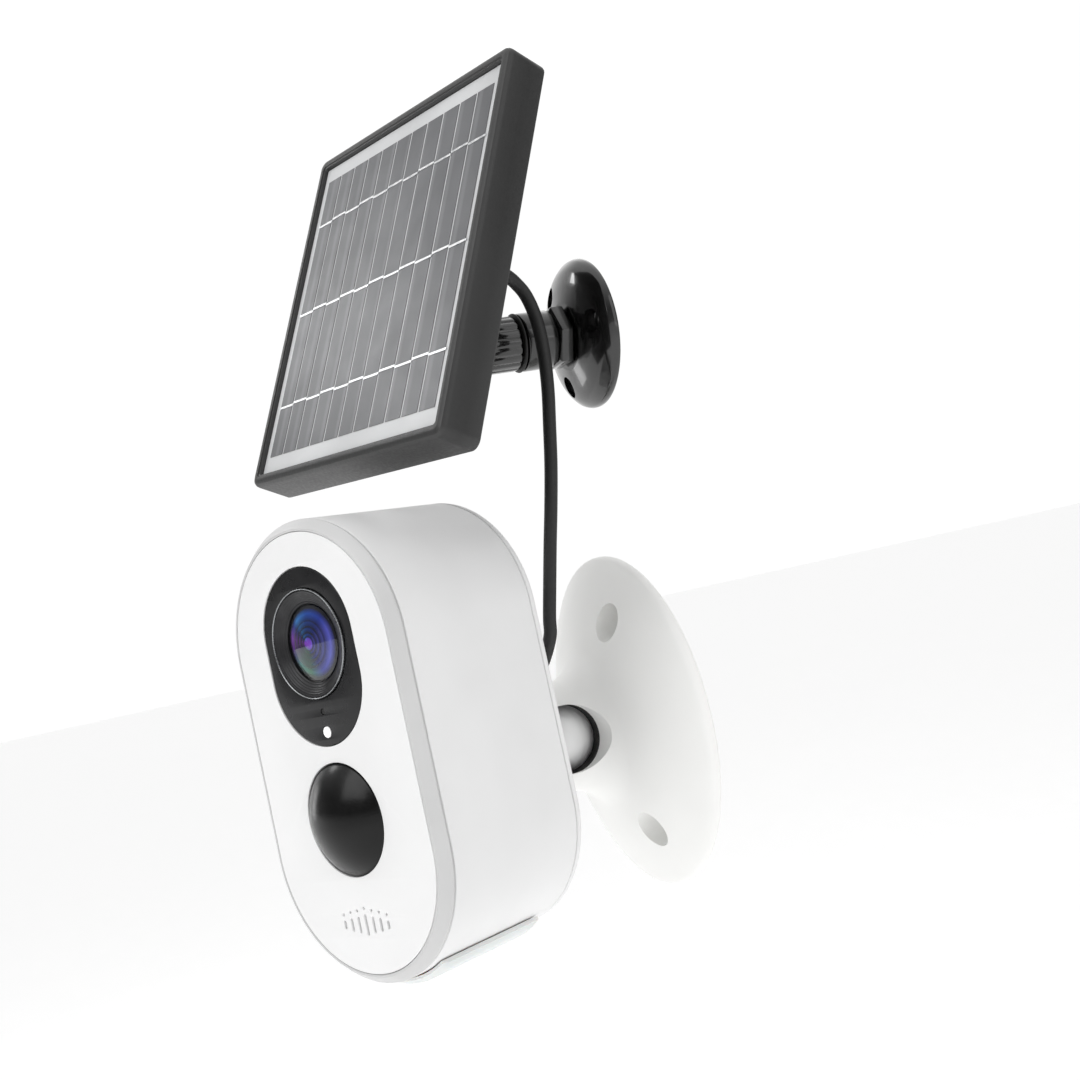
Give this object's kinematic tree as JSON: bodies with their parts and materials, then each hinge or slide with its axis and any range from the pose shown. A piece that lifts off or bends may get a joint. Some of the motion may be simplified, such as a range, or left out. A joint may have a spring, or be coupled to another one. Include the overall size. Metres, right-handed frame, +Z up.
{
  "type": "solar-powered security camera",
  "caption": "Upright capsule-shaped battery security camera on a ball-jointed wall plate, wired by a short lead to a small solar panel on its own ball-jointed wall bracket.",
  "frame": {"origin": "middle of the camera wall plate's back face, on the wall", "axes": "+Z up, +Y into the wall, so the front looks along -Y and +X is to the right of someone facing the wall"},
  "size_m": [0.1295, 0.1134, 0.2354],
  "materials": {
    "black_gloss": "gloss paint",
    "black_moulding": "matt moulded plastic",
    "black_rubber": "matt",
    "board": "solder-masked board",
    "brass": "turned",
    "cell_wrap": null,
    "cells": "laminated cell sheet",
    "clear_glass": "clear polished",
    "clear_plastic": "clear moulded epoxy",
    "light_pipe": "milky light guide",
    "panel_black": "fine satin moulded plastic",
    "steel": "bright plated",
    "white_face": "smooth moulded plastic",
    "white_rubber": "soft moulded rubber",
    "white_shell": "satin moulded plastic",
    "window_black": "polished dark window"
  },
  "bodies": {
    "wall_side": {"camera_wall_plate": "white_shell", "panel_wall_plate": "black_gloss", "bracket_nut": "black_gloss", "bracket_tube": "black_gloss", "bracket_o_ring": "black_rubber", "solar_lead": "black_rubber"},
    "camera_ball_body": {"camera_ball": "white_shell"},
    "camera_stud_body": {"camera_stud": "steel"},
    "stud_lock_nut_body": {"stud_lock_nut": "black_moulding"},
    "panel_ball_body": {"panel_ball": "steel"},
    "panel_stud_body": {"panel_stud": "steel"},
    "panel_lock_nut_body": {"panel_lock_nut": "steel"},
    "clamp_sleeve_body": {"clamp_sleeve": "black_moulding"},
    "port_flap_body": {"port_flap": "white_rubber"},
    "reset_button_body": {"reset_button": "white_rubber"},
    "panel_head": {"panel_frame": "panel_black", "panel_glass": "clear_glass", "cell_sheet": "cells", "panel_back": "panel_black", "panel_insert": "brass", "junction_box": "panel_black", "lead_gland": "black_rubber"},
    "camera_head": {"front_face": "white_face", "rear_cover": "white_shell", "head_shell": "white_shell", "pir_dome": "window_black", "window_plate": "window_black", "front_lens": "clear_glass", "lens_bezel": "window_black", "face_gasket": "white_rubber", "lens_barrel": "black_moulding", "lead_plug": "black_moulding", "inner_lens": "clear_glass", "speaker": "black_moulding", "power_port": "steel", "infrared_led_left": "clear_plastic", "infrared_led_right": "clear_plastic", "mount_insert": "brass", "port_bay": "black_moulding", "lens_holder": "black_moulding", "cover_screw_1": "steel", "cover_screw_2": "steel", "cover_screw_3": "steel", "cover_screw_4": "steel", "main_board": "board", "status_light": "light_pipe", "plug_relief": "black_rubber", "battery_tray": "black_moulding", "pir_sensor": "steel", "speaker_mesh": "black_moulding", "battery_left": "cell_wrap", "battery_right": "cell_wrap", "light_sensor": "black_moulding", "camera_board": "board", "light_board": "board", "pir_board": "board", "wifi_antenna": "board", "card_slot": "steel", "image_sensor": "black_moulding", "memory_card": "black_moulding"}
  },
  "joints": [
    {"name": "camera_pan", "type": "hinge", "parent": "wall_side", "child": "camera_ball_body", "pos_m": [0, -0.026, 0], "axis": [0, 0, 1], "range_deg": [-25, 20], "deforming": ["solar_lead"]},
    {"name": "camera_tilt", "type": "hinge", "parent": "camera_ball_body", "child": "camera_stud_body", "pos_m": [0, -0.026, 0], "axis": [0.8949, 0.4462, 0], "range_deg": [-3, 20], "deforming": ["solar_lead"]},
    {"name": "stud_nut_turn", "type": "hinge", "parent": "camera_stud_body", "child": "stud_lock_nut_body", "pos_m": [0.01298, -0.05204, 0], "axis": [-0.4462, 0.8949, 0], "continuous": true},
    {"name": "camera_turn", "type": "hinge", "parent": "camera_stud_body", "child": "camera_head", "pos_m": [0, -0.026, 0], "axis": [-0.4462, 0.8949, 0], "range_deg": [-20, 20], "deforming": ["solar_lead"]},
    {"name": "panel_pan", "type": "hinge", "parent": "wall_side", "child": "panel_ball_body", "pos_m": [0.026, -0.0476, 0.1132], "axis": [0, 0, 1], "range_deg": [-35, 8], "deforming": ["solar_lead"]},
    {"name": "panel_tilt", "type": "hinge", "parent": "panel_ball_body", "child": "panel_stud_body", "pos_m": [0.026, -0.0476, 0.1132], "axis": [0.9403, 0.3404, 0], "range_deg": [-15, 1], "deforming": ["solar_lead"]},
    {"name": "panel_nut_turn", "type": "hinge", "parent": "panel_stud_body", "child": "panel_lock_nut_body", "pos_m": [0.026, -0.0476, 0.1132], "axis": [-0.3126, 0.8636, -0.3955], "continuous": true},
    {"name": "panel_turn", "type": "hinge", "parent": "panel_stud_body", "child": "panel_head", "pos_m": [0.026, -0.0476, 0.1132], "axis": [-0.3126, 0.8636, -0.3955], "range_deg": [-10, 4], "deforming": ["solar_lead"]},
    {"name": "clamp_sleeve_turn", "type": "hinge", "parent": "wall_side", "child": "clamp_sleeve_body", "pos_m": [0.026, -0.0476, 0.1132], "axis": [0, 1, 0], "continuous": true},
    {"name": "port_flap_hinge", "type": "hinge", "parent": "camera_head", "child": "port_flap_body", "pos_m": [0.0182, -0.06251, -0.0458], "axis": [0.8949, 0.4462, 0], "range_deg": [0, 95]},
    {"name": "reset_button_press", "type": "slide", "parent": "camera_head", "child": "reset_button_body", "axis": [0, 0, 1], "range_m": [0, 0.0006], "stiffness_N_per_m": 400, "springref_m": -0.0002}
  ]
}
